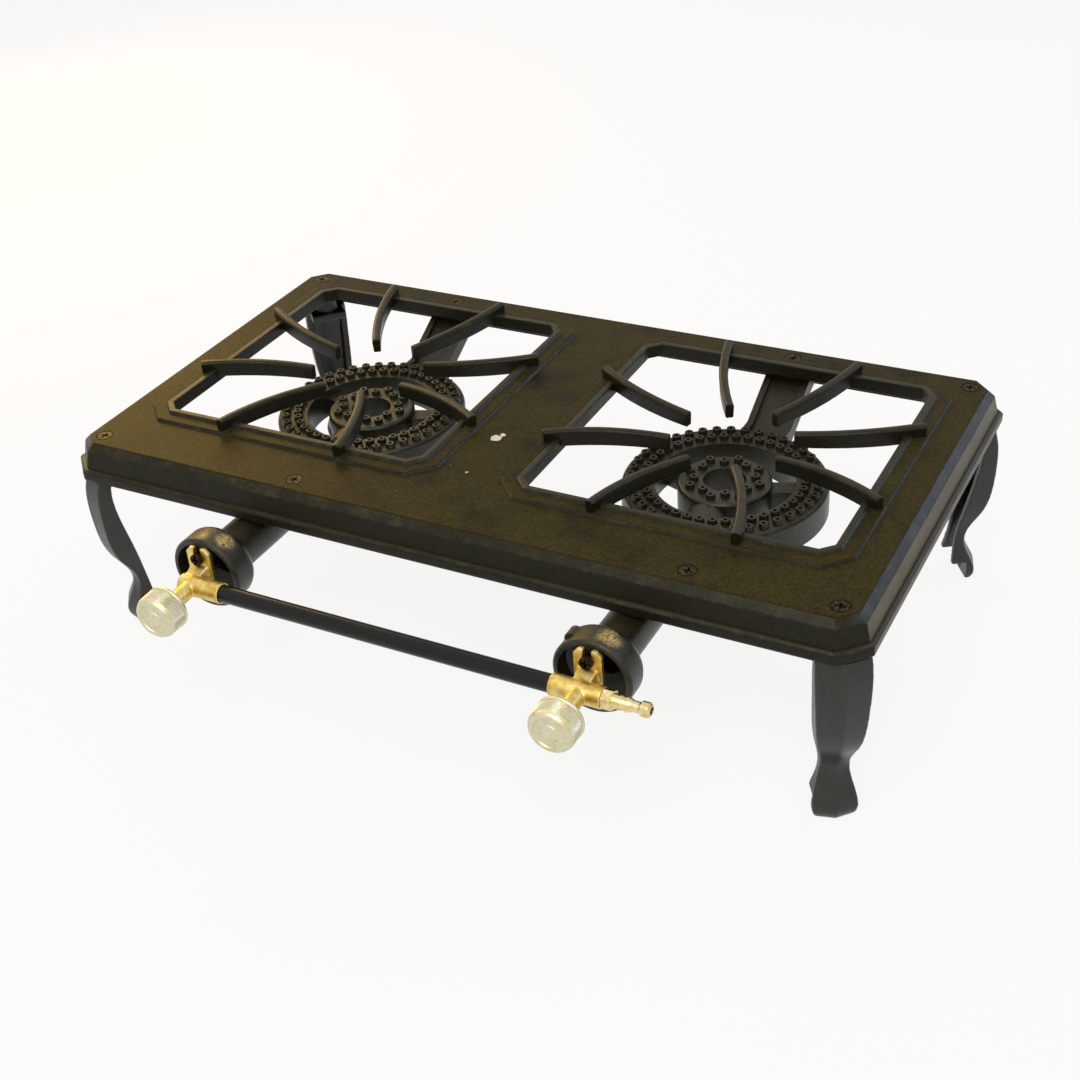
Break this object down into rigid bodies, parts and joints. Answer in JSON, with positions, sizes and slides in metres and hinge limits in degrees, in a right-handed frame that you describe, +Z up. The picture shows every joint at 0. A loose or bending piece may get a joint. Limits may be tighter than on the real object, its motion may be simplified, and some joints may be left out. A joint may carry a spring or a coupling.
{
  "type": "gas boiling table",
  "caption": "Low cast-iron gas boiling table on cabriole legs, with ring burners under curved pan fingers, brass needle valves and a hose nozzle",
  "frame": {"origin": "On the ground, under the middle of the whole object's box.", "axes": "+X along the table to the hose nozzle's side, +Y to the back away from the knobs, +Z up."},
  "size_m": [0.6064, 0.4323, 0.1687],
  "materials": {
    "black_iron": "semi-gloss black paint over a cast surface",
    "leg_iron": "semi-gloss black paint over a rougher cast surface",
    "burner_iron": "satin black paint, worn bronze on the bells",
    "cast_brass": "satin cast and filed brass",
    "machined_brass": "bright turned brass",
    "zinc_knob": "yellow-passivated zinc plate, knurled",
    "screw_steel": "darkened steel with some rust",
    "tube_paint": "gloss black paint",
    "packing": "graphited packing ring"
  },
  "bodies": {
    "table": {"top_frame": "black_iron", "leg_screws": "screw_steel", "burner_screws": "screw_steel", "manifold_tube": "tube_paint", "hose_nozzle": "machined_brass", "leg_front_left": "leg_iron", "leg_front_right": "leg_iron", "leg_rear_left": "leg_iron", "leg_rear_right": "leg_iron", "burner_left": "burner_iron", "valve_body_left": "cast_brass", "packing_left": "packing", "gland_nut_left": "machined_brass", "injector_left": "machined_brass", "valve_screw_left": "screw_steel", "burner_right": "burner_iron", "valve_body_right": "cast_brass", "packing_right": "packing", "gland_nut_right": "machined_brass", "injector_right": "machined_brass", "valve_screw_right": "screw_steel"},
    "knob_left": {"knob_left": "zinc_knob"},
    "knob_right": {"knob_right": "zinc_knob"},
    "spindle_left": {"spindle_left": "machined_brass"},
    "spindle_right": {"spindle_right": "machined_brass"}
  },
  "joints": [
    {"name": "spindle_left_lift", "type": "slide", "parent": "table", "child": "spindle_left", "axis": [0, -1, 0], "range_m": [0, 0.0023]},
    {"name": "knob_left_turn", "type": "hinge", "parent": "spindle_left", "child": "knob_left", "pos_m": [-0.1455, -0.21582, 0.113], "axis": [0, -1, 0], "range_deg": [0, 810]},
    {"name": "spindle_right_lift", "type": "slide", "parent": "table", "child": "spindle_right", "axis": [0, -1, 0], "range_m": [0, 0.0023]},
    {"name": "knob_right_turn", "type": "hinge", "parent": "spindle_right", "child": "knob_right", "pos_m": [0.1455, -0.21582, 0.113], "axis": [0, -1, 0], "range_deg": [0, 810]}
  ],
  "couplings": [
    {"joint": "spindle_left_lift", "follows": "knob_left_turn", "m_per_rad": 0.00015915},
    {"joint": "spindle_right_lift", "follows": "knob_right_turn", "m_per_rad": 0.00015915}
  ]
}
